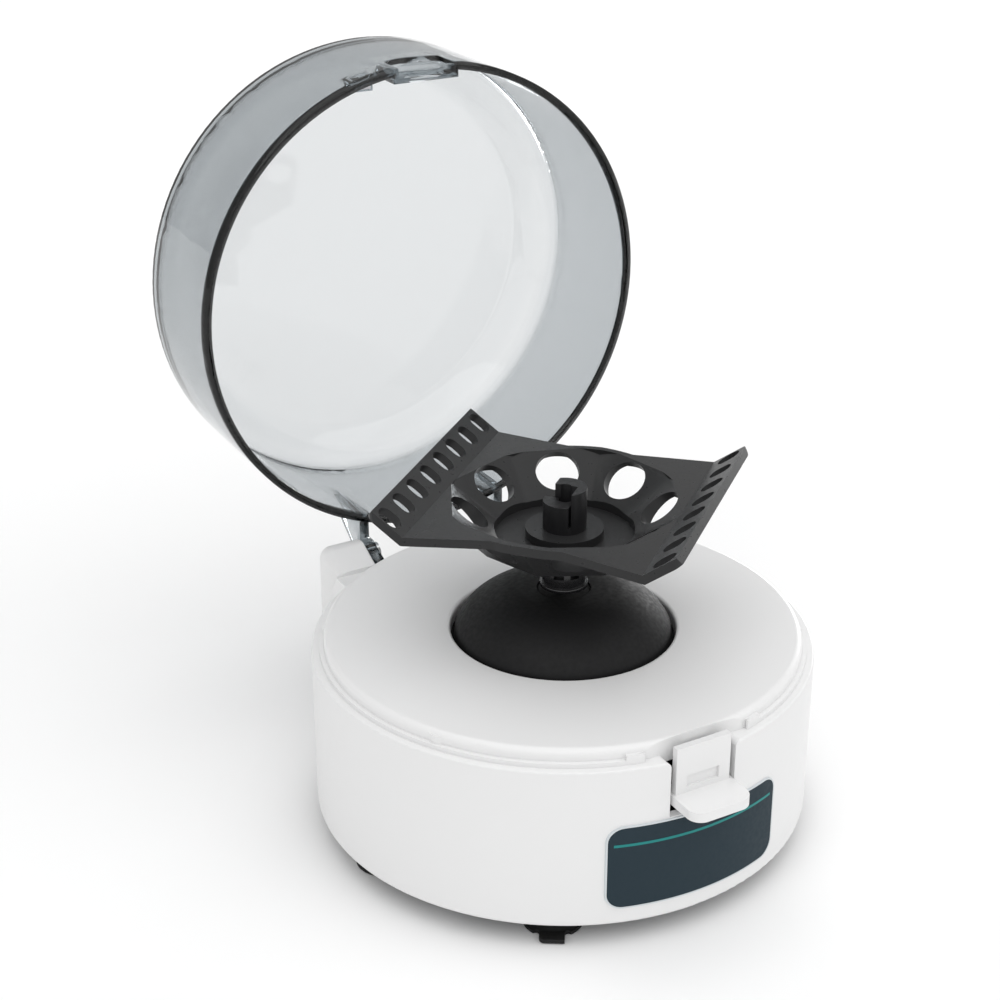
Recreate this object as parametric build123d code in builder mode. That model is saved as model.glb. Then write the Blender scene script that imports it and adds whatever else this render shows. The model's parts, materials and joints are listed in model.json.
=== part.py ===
from build123d import *
from math import atan2, cos, radians, sin, sqrt, tan
import os

# Mini centrifuge for 1.5 ml tubes and 0.2 ml tube strips, in millimetres.
# The rotor axis is the Z axis and the bench is z = 0. The latch is at the front,
# toward -Y, and the lid hinge is at the back. The lid stands open.

os.makedirs("parts", exist_ok=True)

# Housing
base_r = 65.0
base_low = 6.0
ledge_z = 49.6
deck_z = 53.8
deck_r = base_r - 3.2
wall = 2.2
inner_r = base_r - wall
well_r = 29.2
deck_edge = 1.8
spigot_r = deck_r + 1.2
spigot_h = 1.2
skirt_r = deck_r - 3.0
rim_gap = 0.3
lip_z = deck_z - 3.6
floor_t = 2.2
floor_r = inner_r - 0.3
floor_top = base_low + floor_t
vent_ring = 36.0
vent_l = 16.0
vent_w = 2.4

# Lid and hinge
hinge_y = base_r + 5.74
hinge_z = ledge_z - 1.03
lid_r = base_r + 0.3
lid_low = ledge_z + rim_gap
lid_side_h = 39.6
lid_end_z = lid_low + lid_side_h
lid_wall = 1.9
lid_skin = 1.6
dome_z = lid_end_z + 12.4
shoulder_r = 0.82 * base_r
shoulder_z = lid_end_z + 9.9
pin_r = 1.5
pin_fit = 0.02
run_fit = 0.06
knuckle_r = 4.0
arm_in = 20.2
arm_t = 2.8
post_in = arm_in + arm_t + 0.4
post_w = 12.2
post_r = 4.5
pin_deep = 9.5
heel = hinge_y - sqrt(base_r ** 2 - arm_in ** 2) - 0.35

# Latch
latch_y = -(base_r - 5.0)
latch_z = 37.5
latch_pin_r = 1.0
plate_out = base_r - 0.7
plate_t = 1.8
plate_in = plate_out - plate_t
plate_half = 7.7
plate_top = ledge_z + 2.9
tab_half = 8.5
tab_reach = base_r + 9.0
tab_top = latch_z + 2.4
tab_t = 2.5
tab_low = tab_top - tab_t
mouth_half = plate_half + 1.5
mouth_low = latch_z - 3.0
mouth_round = 1.5
lug_arc = 4.1
lug_h = 2.4
notch_half = plate_half + 0.4
notch_y = plate_in - 0.4
notch_skin = 1.3
notch_high = 9.6
flat_y = notch_y - notch_skin - 0.5
catch_half = 4.0
catch_low = lid_low + 1.1
catch_h = 1.4
catch_reach = 1.3
ear_t = 2.0
spring_h = 13.9
spring_low = latch_z - spring_h - 2.6

# Rotor
yaw = 41.0
wing_half = 34.6
wing_in = 30.0
wing_in_z = 89.3
wing_out = 38.0
wing_out_z = 95.1
rotor_skin = 2.3
roof_z = wing_in_z + 1.0
waist_half = 30.5
waist_v = 9.0
rim_out = sqrt(waist_half ** 2 + waist_v ** 2)
rim_in = rim_out - 1.8
facet_tilt = 36.5
bowl_floor_z = 81.0
bowl_floor_a = 17.1
rotor_low = 77.6
rotor_low_a = 20.1
tube_hole_r = 5.75
tube_ring = 24.0
tube_count = 8
strip_pitch = 9.0
strip_count = 8
strip_w = 5.0
strip_l = 6.6
strip_at = 5.5
groove_in = 10.0
groove_out = 17.9
hub_disc_z = bowl_floor_z + 0.5
clip_r = 5.6

# Drive
shaft_r = 1.6
shaft_low = 17.0
shaft_top = hub_disc_z + 4.2
hub_r = 5.6
hub_low = 65.3
flange_r = 6.2
plug_r = 3.4
cover_top = 64.2
cover_step_r = 17.6
cover_wall = 1.8
cover_r = well_r - 1.0
seal_r = 6.9
can_r = 13.85
can_low = 20.2
can_top = 58.2
boss_r = 5.0
mount_skin = 2.0
mount_flange_r = 26.5
mount_low = 41.0
damper_h = 5.0
damper_r = 5.0
stud_ring = 21.5
stud_r = 4.3
cover_ring = well_r + 6.0

# Feet and screws
foot_ring = base_r - 11.5
foot_r = 7.6
foot_plug_r = 2.4
screw_r = 1.5
head_r = 2.8
head_h = 1.7
boss_ring = base_r - 6.2
boss_out = 3.5

# Rear panel
panel_half = 17.5
panel_y = base_r - 2.7
panel_t = 3.0
panel_low = 11.0
panel_high = 35.0
rear_z = 23.0
socket_x = 11.0
socket_r = 3.95
switch_x = -8.0
switch_w = 12.8
switch_h = 19.0
switch_deep = 14.0
rocker_tilt = 10.0
rocker_out = 1.1

# Control board
board_x = -(base_r + 11) / 2
board_y = 1.0
board_w = base_r - 40.0
board_l = 42.0
board_t = 1.6
board_z = 13.0
board_hole_x = board_w / 2 - 3.5
board_hole_y = 17.0

# Label
label_half = 24.4
label_low = 11.0
label_high = mouth_low - 0.4
label_t = 0.4

foot_angles = (-57, -123, -2, -178, 53, 127)
boss_angles = (-30, -150, 30, 150)
stud_angles = (90, 210, 330)
UP = (Align.CENTER, Align.CENTER, Align.MIN)
DOWN = (Align.CENTER, Align.CENTER, Align.MAX)


def upright(angle):
    """Upright plane through the Z axis whose x runs outward at an angle."""
    a = radians(angle)
    return Plane(origin=(0, 0, 0), x_dir=(cos(a), sin(a), 0), z_dir=(sin(a), -cos(a), 0))


def spot(radius, angle, z=0.0):
    """Point at a radius, an angle and a height."""
    a = radians(angle)
    return radius * cos(a), radius * sin(a), z


def outline(*points):
    """Straight filled outline in the open sketch."""
    Polygon(*points, align=None)


def put(piece, name):
    """Name a finished piece and write it."""
    piece.part.label = name
    export_step(piece.part, f"parts/{name}.step")


# Housing shell: wall, ledge, raised deck round the motor well, hinge posts and bosses
with BuildPart() as base_shell:
    with BuildSketch(Plane.XZ):
        with BuildLine():
            low = 1.2
            top = 0.6
            Line((inner_r, base_low), (base_r - low, base_low))
            TangentArc((base_r - low, base_low), (base_r, base_low + low), tangent=(1, 0))
            Line((base_r, base_low + low), (base_r, ledge_z - top))
            TangentArc((base_r, ledge_z - top), (base_r - top, ledge_z), tangent=(0, 1))
            Line((base_r - top, ledge_z), (deck_r, ledge_z))
            Line((deck_r, ledge_z), (deck_r, deck_z - deck_edge))
            TangentArc((deck_r, deck_z - deck_edge), (deck_r - deck_edge, deck_z), tangent=(0, 1))
            Line((deck_r - deck_edge, deck_z), (well_r + 1, deck_z))
            TangentArc((well_r + 1, deck_z), (well_r, deck_z - 1), tangent=(-1, 0))
            Polyline(
                (well_r, deck_z - 1),
                (well_r, lip_z),
                (well_r + wall, lip_z),
                (well_r + wall, deck_z - wall),
                (skirt_r, deck_z - wall),
                (skirt_r, ledge_z - wall),
                (inner_r, ledge_z - wall),
                (inner_r, base_low),
            )
        make_face()
    revolve(axis=Axis.Z)
    for start in (post_in, -post_in - post_w):
        with BuildSketch(Plane.YZ.offset(start)):
            shelf = ledge_z - wall + 0.6
            outline(
                (0.77 * base_r, 16),
                (0.77 * base_r, shelf),
                (hinge_y - 2 * post_r, shelf),
                (hinge_y - 2 * post_r, ledge_z - 0.3),
                (hinge_y - 0.3 * post_r, hinge_z + 0.95 * post_r),
                (hinge_y, hinge_z),
                (hinge_y + post_r, hinge_z),
                (hinge_y + post_r, hinge_z - 20),
                (base_r - 3, 16),
            )
            with Locations((hinge_y, hinge_z)):
                Circle(post_r)
        extrude(amount=post_w)
    with Locations((0, 0, base_low + 1)):
        Cylinder(inner_r, ledge_z - wall - base_low - 1, align=UP, mode=Mode.SUBTRACT)
    with Locations((0, 0, ledge_z - wall - 1)):
        Cylinder(skirt_r, 2.5, align=UP, mode=Mode.SUBTRACT)
    for side in (1, -1):
        with BuildSketch(Plane.YZ.offset(side * (post_in + pin_deep))):
            with Locations((hinge_y, hinge_z)):
                Circle(pin_r + pin_fit)
        extrude(amount=-side * (pin_deep + 1), mode=Mode.SUBTRACT)
    # locating ring for the lid rim, open at the latch
    ring_gap = 13.5
    with BuildSketch(upright(ring_gap - 90)):
        outline(
            (deck_r - 0.5, ledge_z - 0.5),
            (spigot_r, ledge_z - 0.5),
            (spigot_r, ledge_z + spigot_h),
            (deck_r - 0.5, ledge_z + spigot_h),
        )
    revolve(axis=Axis.Z, revolution_arc=360 - 2 * ring_gap)
    for start in (ring_gap - 90, -90 - ring_gap - lug_arc):
        with BuildSketch(upright(start)):
            with Locations((deck_r - 0.5, ledge_z - 0.5)):
                Rectangle(spigot_r - deck_r + 0.5, lug_h + 0.5, align=(Align.MIN, Align.MIN))
        revolve(axis=Axis.Z, revolution_arc=lug_arc)
    # flat rear panel with its switch and socket holes
    with BuildSketch(Plane.XY.offset(panel_low - 2)):
        Circle(base_r - 1)
        with Locations((0, panel_y - panel_t)):
            Rectangle(2 * panel_half + 4, 20, align=(Align.CENTER, Align.MIN), mode=Mode.INTERSECT)
    extrude(amount=panel_high - panel_low + 4)
    with Locations((0, panel_y + 5, (panel_low + panel_high) / 2)):
        Box(2 * panel_half, 10, panel_high - panel_low, mode=Mode.SUBTRACT)
    with Locations((switch_x, panel_y, rear_z)):
        Box(switch_w + 0.4, 4 * panel_t, switch_h + 0.4, mode=Mode.SUBTRACT)
    with BuildSketch(Plane.XZ.offset(-panel_y - 1)):
        with Locations((socket_x, rear_z)):
            Circle(socket_r + 0.1)
    extrude(amount=2 * panel_t, mode=Mode.SUBTRACT)
    # bosses for the floor screws, the motor cover screws and the latch spring
    for angle in boss_angles:
        with Locations(spot(boss_ring, angle, floor_top)):
            Cylinder(boss_out, deck_z - 1 - floor_top, align=UP)
            Cylinder(screw_r + 0.05, 14, align=UP, mode=Mode.SUBTRACT)
    for angle in stud_angles:
        with Locations(spot(cover_ring, angle, lip_z)):
            Cylinder(head_r, deck_z - 1 - lip_z, align=UP)
            Cylinder(screw_r + 0.05, 2.4, align=UP, mode=Mode.SUBTRACT)
    with Locations((0, -inner_r - 0.5, spring_low - 0.5)):
        Box(8, inner_r + 0.5 + latch_y + 0.8, 7, align=(Align.CENTER, Align.MIN, Align.MIN))
    # latch mouth, deck flat and pivot ears
    with BuildSketch(Plane.XY.offset(ledge_z)):
        with Locations((0, -flat_y)):
            Rectangle(2 * deck_r, deck_r - flat_y + 1, align=(Align.CENTER, Align.MAX))
        Circle(deck_r + 0.6, mode=Mode.INTERSECT)
    extrude(amount=10, mode=Mode.SUBTRACT)
    with Locations((0, -flat_y, mouth_low)):
        Box(2 * mouth_half, 10, 30, align=(Align.CENTER, Align.MAX, Align.MIN), mode=Mode.SUBTRACT)
    with BuildSketch(Plane.XZ.offset(flat_y)):
        for side in (1, -1):
            with Locations((side * (mouth_half + mouth_round / 2), ledge_z - mouth_round)):
                Rectangle(mouth_round + 0.1, mouth_round + 0.5, align=(Align.CENTER, Align.MIN))
            with Locations((side * (mouth_half + mouth_round), ledge_z - mouth_round)):
                Circle(mouth_round, mode=Mode.SUBTRACT)
                Rectangle(0.4, 4, align=(Align.CENTER, Align.MIN), mode=Mode.SUBTRACT)
    extrude(amount=10, mode=Mode.SUBTRACT)
    for start in (mouth_half + 1, -mouth_half - 1 - ear_t):
        with BuildSketch(Plane.YZ.offset(start)):
            with Locations((latch_y, latch_z)):
                Rectangle(5, 8)
                Circle(latch_pin_r + pin_fit, mode=Mode.SUBTRACT)
        extrude(amount=ear_t)
put(base_shell, "base_shell")

# Floor plate with motor studs, board stand-offs, foot holes and vents
with BuildPart() as floor_plate:
    with Locations((0, 0, base_low)):
        Cylinder(floor_r, floor_t, align=UP)
    stud_top = mount_low - damper_h
    for angle in stud_angles:
        with Locations(spot(stud_ring, angle, floor_top - 0.5)):
            Cylinder(stud_r, stud_top - floor_top + 0.5, align=UP)
        with Locations(spot(stud_ring, angle, stud_top)):
            Cylinder(screw_r + 0.05, 11, align=DOWN, mode=Mode.SUBTRACT)
    with Locations((board_x, board_y, floor_top - 0.5)):
        with GridLocations(2 * board_hole_x, 2 * board_hole_y, 2, 2):
            Cylinder(2.6, board_z - floor_top + 0.5, align=UP)
    with Locations((board_x, board_y, board_z)):
        with GridLocations(2 * board_hole_x, 2 * board_hole_y, 2, 2):
            Cylinder(1.05, 4, align=DOWN, mode=Mode.SUBTRACT)
    for angle in foot_angles:
        with Locations(spot(foot_ring, angle, base_low - 1)):
            Cylinder(foot_plug_r + 0.05, floor_t + 2, align=UP, mode=Mode.SUBTRACT)
    for angle in boss_angles:
        with Locations(spot(boss_ring, angle, base_low - 1)):
            Cylinder(screw_r + 0.2, floor_t + 2, align=UP, mode=Mode.SUBTRACT)
    with BuildSketch(Plane.XY.offset(base_low - 1)):
        with PolarLocations(vent_ring, 6, start_angle=30):
            SlotOverall(vent_l, vent_w, rotation=90)
    extrude(amount=floor_t + 2, mode=Mode.SUBTRACT)
put(floor_plate, "floor_plate")

# Front label, a thin skin on the wall
with BuildPart() as label_panel:
    with BuildSketch(Plane.XY.offset(label_low)):
        Circle(base_r + label_t)
        Circle(base_r, mode=Mode.SUBTRACT)
    extrude(amount=label_high - label_low)
    with BuildSketch(Plane.XZ):
        with Locations((0, (label_low + label_high) / 2)):
            RectangleRounded(2 * label_half, label_high - label_low, 4.2)
    extrude(amount=base_r + 5, mode=Mode.INTERSECT)
put(label_panel, "label_panel")

# Latch: upright plate with a tooth, push tab, pivot barrel and spring heel
with BuildPart() as latch:
    with BuildSketch(Plane.XY.offset(tab_low)):
        with Locations((0, -plate_in)):
            Rectangle(2 * tab_half, tab_reach - plate_in, align=(Align.CENTER, Align.MAX))
        fillet(vertices().sort_by(Axis.Y)[0:2], radius=3.6)
    extrude(amount=tab_t)
    with Locations((0, -plate_out, tab_low)):
        Box(2 * plate_half, plate_t, plate_top - tab_low, align=(Align.CENTER, Align.MIN, Align.MIN))
    with BuildSketch(Plane.YZ):
        outline(
            (-plate_in - 0.2, catch_low - 0.5),
            (-plate_in - 0.2, catch_low + catch_h + 0.2),
            (catch_reach - plate_in, catch_low + 0.5),
            (catch_reach - plate_in, catch_low),
            (-plate_in, catch_low),
        )
    extrude(amount=catch_half, both=True)
    with BuildSketch(Plane.YZ):
        with Locations((-plate_in - 0.2, tab_low)):
            Rectangle(plate_in + latch_y + 0.2, tab_t, align=(Align.MIN, Align.MIN))
        with Locations((latch_y, latch_z)):
            Circle(2.2)
    extrude(amount=mouth_half - 0.3, both=True)
    with Locations((0, latch_y, latch_z)):
        Box(6, 1.4, 4.4, align=(Align.CENTER, Align.CENTER, Align.MAX))
    with BuildSketch(Plane.YZ):
        with Locations((latch_y, latch_z)):
            Circle(latch_pin_r + run_fit)
    extrude(amount=base_r, both=True, mode=Mode.SUBTRACT)
    with Locations((0, -plate_out, tab_top + 3.0)):
        Box(9.2, 1.6, 3.2, mode=Mode.SUBTRACT)
put(latch, "latch")

# Latch pivot pin
with BuildPart() as latch_pin:
    with BuildSketch(Plane.YZ):
        with Locations((latch_y, latch_z)):
            Circle(latch_pin_r)
    extrude(amount=mouth_half + ear_t + 1.2, both=True)
put(latch_pin, "latch_pin")

# Latch leaf spring on its block behind the wall
with BuildPart() as latch_spring:
    with Locations((0, latch_y + 0.8, spring_low)):
        Box(5, 0.4, spring_h, align=(Align.CENTER, Align.MIN, Align.MIN))
put(latch_spring, "latch_spring")

# The lid's own planes: heights above the bench when shut run along +Y when it is open
lid_at = Vector(0, hinge_y - hinge_z, hinge_z + hinge_y)
lid_turn = Plane(origin=lid_at, x_dir=(1, 0, 0), z_dir=(0, 0, 1))
lid_plan = Plane(origin=lid_at, x_dir=(1, 0, 0), z_dir=(0, 1, 0))
lid_side = Plane(origin=lid_at, x_dir=(0, 0, -1), z_dir=(1, 0, 0))
magnet_x = -16.2
magnet_y = 3.0 - sqrt(base_r ** 2 - magnet_x ** 2)
magnet_z = deck_z + 0.7
magnet_w = 4.4
magnet_t = 1.4
magnet_h = 3.0
magnet_fit = 0.02

# Lid: drum wall, domed end, latch notch, magnet boss and hinge arms
with BuildPart() as lid:
    with BuildSketch(lid_turn):
        with BuildLine():
            end_r = lid_r - 0.4
            in_r = end_r - lid_skin
            rim_r = lid_r - lid_wall
            Line((rim_r, lid_low), (lid_r, lid_low))
            Line((lid_r, lid_low), (lid_r, lid_low + 3))
            Line((lid_r, lid_low + 3), (end_r, lid_end_z - 1))
            TangentArc((end_r, lid_end_z - 1), (end_r - 1, lid_end_z), tangent=(0, 1))
            ThreePointArc(
                (end_r - 1, lid_end_z), (shoulder_r + 6.4, shoulder_z - 4.4), (shoulder_r, shoulder_z)
            )
            TangentArc((0, dome_z), (shoulder_r, shoulder_z), tangent=(1, 0))
            Line((0, dome_z), (0, dome_z - lid_skin))
            TangentArc((0, dome_z - lid_skin), (shoulder_r - 0.6, shoulder_z - lid_skin), tangent=(1, 0))
            ThreePointArc(
                (shoulder_r - 0.6, shoulder_z - lid_skin),
                (shoulder_r + 5.2, shoulder_z - 5.7),
                (in_r, lid_end_z - 1.2),
            )
            Line((in_r, lid_end_z - 1.2), (rim_r, lid_low + 3))
            Line((rim_r, lid_low + 3), (rim_r, lid_low))
        make_face()
    revolve(axis=Axis(lid_at, (0, 1, 0)))
    cheek = notch_half + notch_skin
    back = notch_skin - notch_y
    with BuildSketch(lid_plan.offset(lid_low - 1)):
        with Locations((0, back)):
            Rectangle(2 * cheek, 10, align=(Align.CENTER, Align.MAX))
    extrude(amount=notch_high + 1, mode=Mode.SUBTRACT)
    with BuildSketch(lid_plan.offset(lid_low)):
        Circle(lid_r)
        with Locations((0, back)):
            Rectangle(2 * cheek, 10, align=(Align.CENTER, Align.MAX), mode=Mode.INTERSECT)
        with Locations((0, -notch_y)):
            Rectangle(2 * notch_half, 10, align=(Align.CENTER, Align.MAX), mode=Mode.SUBTRACT)
    extrude(amount=notch_high)
    with BuildSketch(lid_plan.offset(lid_low + notch_high - notch_skin)):
        Circle(lid_r - 0.1)
        with Locations((0, back)):
            Rectangle(2 * cheek, 10, align=(Align.CENTER, Align.MAX), mode=Mode.INTERSECT)
    extrude(amount=notch_skin)
    with BuildSketch(lid_plan.offset(catch_low - 0.25)):
        with Locations((0, -notch_y)):
            Rectangle(2 * catch_half + 1.0, 6)
    extrude(amount=catch_h + 0.9, mode=Mode.SUBTRACT)
    with BuildSketch(lid_plan.offset(magnet_z)):
        with Locations((magnet_x, magnet_y + magnet_t / 2 + 0.5)):
            Rectangle(magnet_w + 1.2, 3.3, align=(Align.CENTER, Align.MAX))
    extrude(amount=magnet_h + 0.8)
    with BuildSketch(lid_plan.offset(magnet_z)):
        with Locations((magnet_x, magnet_y)):
            Rectangle(magnet_w + 2 * magnet_fit, magnet_t + 2 * magnet_fit)
    extrude(amount=magnet_h + 0.1, mode=Mode.SUBTRACT)
    for start in (arm_in, -arm_in - arm_t):
        with BuildSketch(lid_side.offset(start)):
            outline(
                (base_r - 3.4, ledge_z + 1.0),
                (base_r - 3.4, ledge_z + 19.0),
                (hinge_y + 1.0, ledge_z + 5.0),
                (hinge_y + knuckle_r, hinge_z),
                (hinge_y + 2.6, hinge_z - heel),
                (hinge_y - 0.4, hinge_z - heel),
                (hinge_y - knuckle_r, hinge_z),
                (hinge_y - knuckle_r, ledge_z + 1.0),
            )
            with Locations((hinge_y, hinge_z)):
                Circle(knuckle_r)
                Circle(pin_r + run_fit, mode=Mode.SUBTRACT)
        extrude(amount=arm_t)
put(lid, "lid")

# Magnet in the lid that the interlock sensor reads
with BuildPart() as lid_magnet:
    with BuildSketch(lid_plan.offset(magnet_z)):
        with Locations((magnet_x, magnet_y)):
            Rectangle(magnet_w, magnet_t)
    extrude(amount=magnet_h)
put(lid_magnet, "lid_magnet")

# Hinge pins with flat heads
for side, name in ((1, "hinge_pin_right"), (-1, "hinge_pin_left")):
    with BuildPart() as hinge_pin:
        with BuildSketch(Plane.YZ.offset(side * (post_in + pin_deep - 0.3))):
            with Locations((hinge_y, hinge_z)):
                Circle(pin_r)
        extrude(amount=-side * (pin_deep + arm_t + 0.9))
        with BuildSketch(Plane.YZ.offset(side * (arm_in - 0.3))):
            with Locations((hinge_y, hinge_z)):
                Circle(2.6)
        extrude(amount=-side * 1.2)
    put(hinge_pin, name)

# Interlock sensor board under the deck
sensor_z = deck_z - wall
with BuildPart() as lid_sensor:
    with Locations((magnet_x, magnet_y + 9, sensor_z)):
        Box(10, 7, 1.2, align=DOWN)
    with Locations((magnet_x, magnet_y + 9, sensor_z - 1.1)):
        Box(7, 2.4, 2.4, align=DOWN)
put(lid_sensor, "lid_sensor")

# Motor cover: a dome through the deck with a screwed flange below it
with BuildPart() as motor_cover:
    with BuildSketch(Plane.XZ):
        with BuildLine():
            flange_low = lip_z - 2
            side_top = deck_z - 1.3
            step = cover_top - 2.5
            Line((cover_r - cover_wall, flange_low), (cover_ring + 3.4, flange_low))
            Line((cover_ring + 3.4, flange_low), (cover_ring + 3.4, lip_z))
            Line((cover_ring + 3.4, lip_z), (cover_r, lip_z))
            Line((cover_r, lip_z), (cover_r, side_top))
            ThreePointArc((cover_r, side_top), (cover_r - 3, side_top + 4.6), (cover_step_r + 2, step))
            Line((cover_step_r + 2, step), (cover_step_r, cover_top))
            Line((cover_step_r, cover_top), (seal_r + 0.1, cover_top))
            Line((seal_r + 0.1, cover_top), (seal_r + 0.1, cover_top - cover_wall))
            Line((seal_r + 0.1, cover_top - cover_wall), (cover_step_r - 1.2, cover_top - cover_wall))
            Line((cover_step_r - 1.2, cover_top - cover_wall), (cover_step_r + 1.0, step - 1.6))
            ThreePointArc(
                (cover_step_r + 1.0, step - 1.6),
                (cover_r - 4.5, side_top + 3.4),
                (cover_r - cover_wall, side_top - 0.5),
            )
            Line((cover_r - cover_wall, side_top - 0.5), (cover_r - cover_wall, flange_low))
        make_face()
    revolve(axis=Axis.Z)
    for angle in stud_angles:
        with Locations(spot(cover_ring, angle, flange_low - 1)):
            Cylinder(screw_r + 0.15, 4, align=UP, mode=Mode.SUBTRACT)
put(motor_cover, "motor_cover")

# Shaft seal ring in the cover
with BuildPart() as shaft_seal:
    with Locations((0, 0, cover_top - cover_wall)):
        Cylinder(seal_r, cover_wall - 0.2, align=UP)
        Cylinder(shaft_r + 0.6, cover_wall, align=UP, mode=Mode.SUBTRACT)
    fillet(shaft_seal.edges().filter_by(GeomType.CIRCLE).group_by(Axis.Z)[-1].sort_by(SortBy.RADIUS)[-1], 0.5)
put(shaft_seal, "shaft_seal")

# Motor: can with its front boss, and the rear end cap with terminals
with BuildPart() as motor_can:
    with Locations((0, 0, can_low)):
        Cylinder(can_r, can_top - can_low, align=UP)
    fillet(motor_can.edges().filter_by(GeomType.CIRCLE), 1.2)
    with Locations((0, 0, can_top - 0.5)):
        Cylinder(boss_r, 2.5, align=UP)
    with Locations((0, 0, can_low - 1)):
        Cylinder(shaft_r + run_fit, can_top - can_low + 4, align=UP, mode=Mode.SUBTRACT)
put(motor_can, "motor_can")

with BuildPart() as motor_end_cap:
    with Locations((0, 0, can_low - 2.4)):
        Cylinder(can_r - 2, 2.4, align=UP)
        Cylinder(shaft_r + 0.4, 3, align=UP, mode=Mode.SUBTRACT)
    for side in (1, -1):
        with Locations((-8, side * 4, can_low - 2)):
            Box(0.6, 2.6, 4.4, align=DOWN)
put(motor_end_cap, "motor_end_cap")

# Motor mount: a cup over the can with a flange on the dampers
with BuildPart() as motor_mount:
    with BuildSketch(Plane.XZ):
        cup_r = can_r + 0.3
        outline(
            (boss_r + 0.1, can_top),
            (cup_r, can_top),
            (cup_r, mount_low),
            (mount_flange_r, mount_low),
            (mount_flange_r, mount_low + mount_skin),
            (cup_r + mount_skin, mount_low + mount_skin),
            (cup_r + mount_skin, can_top + mount_skin),
            (boss_r + 0.1, can_top + mount_skin),
        )
    revolve(axis=Axis.Z)
    for angle in stud_angles:
        with Locations(spot(stud_ring, angle, mount_low - 1)):
            Cylinder(screw_r + 0.2, 5, align=UP, mode=Mode.SUBTRACT)
put(motor_mount, "motor_mount")

# Rubber dampers and the screws through them, and the cover screws
for count, angle in enumerate(stud_angles, 1):
    with BuildPart() as damper:
        with Locations(spot(stud_ring, angle, stud_top)):
            Cylinder(damper_r, damper_h, align=UP)
            Cylinder(screw_r + 0.15, damper_h, align=UP, mode=Mode.SUBTRACT)
    put(damper, f"damper_{count}")
    with BuildPart() as mount_screw:
        with Locations(spot(stud_ring, angle, stud_top - 9)):
            Cylinder(screw_r, 9 + damper_h + mount_skin, align=UP)
        with Locations(spot(stud_ring, angle, mount_low + mount_skin)):
            Cylinder(head_r, head_h, align=UP)
    put(mount_screw, f"mount_screw_{count}")
    with BuildPart() as cover_screw:
        with Locations(spot(cover_ring, angle, flange_low)):
            Cylinder(screw_r, 4.2, align=UP)
            Cylinder(head_r, head_h, align=DOWN)
    put(cover_screw, f"cover_screw_{count}")

# Floor screws and board screws
for count, angle in enumerate(boss_angles, 1):
    with BuildPart() as case_screw:
        with Locations(spot(boss_ring, angle, base_low)):
            Cylinder(screw_r, 12, align=UP)
            Cylinder(head_r, head_h, align=DOWN)
    put(case_screw, f"case_screw_{count}")

count = 0
for side in (1, -1):
    for end in (1, -1):
        count += 1
        with BuildPart() as board_screw:
            with Locations((board_x + side * board_hole_x, board_y + end * board_hole_y, board_z + board_t)):
                Cylinder(1.0, board_t + 3.2, align=DOWN)
                Cylinder(2.0, 1.2, align=UP)
        put(board_screw, f"board_screw_{count}")

# Drive shaft and the pocketed hub that carries the rotor
with BuildPart() as drive_shaft:
    with Locations((0, 0, shaft_low)):
        Cylinder(shaft_r, shaft_top - shaft_low, align=UP)
    chamfer(drive_shaft.edges().filter_by(GeomType.CIRCLE).group_by(Axis.Z)[-1], 0.4)
put(drive_shaft, "drive_shaft")

with BuildPart() as drive_hub:
    with Locations((0, 0, hub_low)):
        Cylinder(flange_r, 0.9, align=UP)
        Cylinder(hub_r, rotor_low - hub_low, align=UP)
    with Locations((0, 0, rotor_low)):
        Cylinder(plug_r, hub_disc_z - 0.6 - rotor_low, align=UP)
    with Locations((0, 0, hub_low + 5.3)):
        with PolarLocations(hub_r - 0.2, 8):
            Box(2.8, 2.7, 3.5, mode=Mode.SUBTRACT)
    with Locations((0, 0, hub_low)):
        Cylinder(shaft_r + 0.02, 20, align=UP, mode=Mode.SUBTRACT)
put(drive_hub, "drive_hub")

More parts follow.
